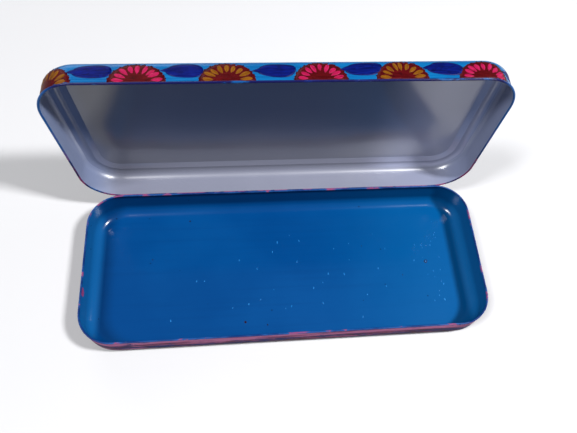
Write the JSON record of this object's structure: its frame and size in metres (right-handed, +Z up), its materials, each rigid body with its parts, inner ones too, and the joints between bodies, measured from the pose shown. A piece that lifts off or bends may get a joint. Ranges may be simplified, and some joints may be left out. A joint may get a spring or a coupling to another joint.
{
  "type": "pencil case",
  "caption": "Flat hinged tin pencil case with rounded corners, an open tray and a deep lid with an embossed panel.",
  "frame": {"origin": "centre of the base's underside, on the surface it rests on", "axes": "+X along the case, +Y from the front to the hinge side, +Z up; the lid is stored open at 90 degrees, standing along +Z behind the tray"},
  "size_m": [0.2, 0.0951, 0.0922],
  "materials": {
    "blue_enamel": "glossy brushed enamel",
    "grey_lacquer": "satin lacquer inside, hand-painted enamel outside",
    "hinge_steel": "tinned, pressed",
    "pin_steel": "plain wire, peened ends"
  },
  "bodies": {
    "base": {"base_shell": "blue_enamel", "hinge_left_base_leaf": "hinge_steel", "hinge_left_pin": "pin_steel", "hinge_right_base_leaf": "hinge_steel", "hinge_right_pin": "pin_steel"},
    "lid": {"lid_shell": "grey_lacquer", "hinge_left_lid_leaf": "hinge_steel", "hinge_right_lid_leaf": "hinge_steel"}
  },
  "joints": [
    {"name": "lid_hinge", "type": "hinge", "parent": "base", "child": "lid", "pos_m": [0, 0.04175, 0.01], "axis": [-1, 0, 0], "range_deg": [-90, 66]}
  ]
}
